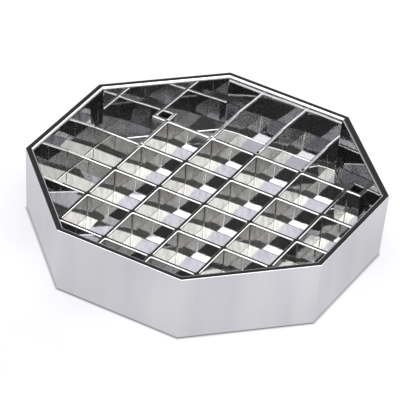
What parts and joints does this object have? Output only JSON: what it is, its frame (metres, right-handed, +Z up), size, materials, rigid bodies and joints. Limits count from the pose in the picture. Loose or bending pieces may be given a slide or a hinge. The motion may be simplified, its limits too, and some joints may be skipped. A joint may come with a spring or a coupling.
{
  "type": "drip tray",
  "caption": "Octagonal chrome drip tray with a flat rim and a recessed lift-out grate of crossing slats standing on its floor.",
  "frame": {"origin": "centre of the flat underside of the tray", "axes": "+Z up; +X and +Y each through the middle of a flat of the octagon, along the cross slats and the long slats of the grate"},
  "size_m": [0.1524, 0.1524, 0.033],
  "materials": {
    "tray_chrome": "mirror-bright plating with faint polishing haze",
    "grate_chrome": "mirror-bright plating with soft rounded edges"
  },
  "bodies": {
    "tray": {"tray_body": "tray_chrome"},
    "grate": {"long_slat_1": "grate_chrome", "long_slat_2": "grate_chrome", "long_slat_3": "grate_chrome", "long_slat_4": "grate_chrome", "long_slat_5": "grate_chrome", "cross_slat_1": "grate_chrome", "cross_slat_2": "grate_chrome", "cross_slat_3": "grate_chrome", "cross_slat_4": "grate_chrome", "cross_slat_5": "grate_chrome"}
  },
  "joints": [
    {"name": "grate_lift", "type": "slide", "parent": "tray", "child": "grate", "axis": [0, 0, 1], "range_m": [0, 0.045]}
  ]
}
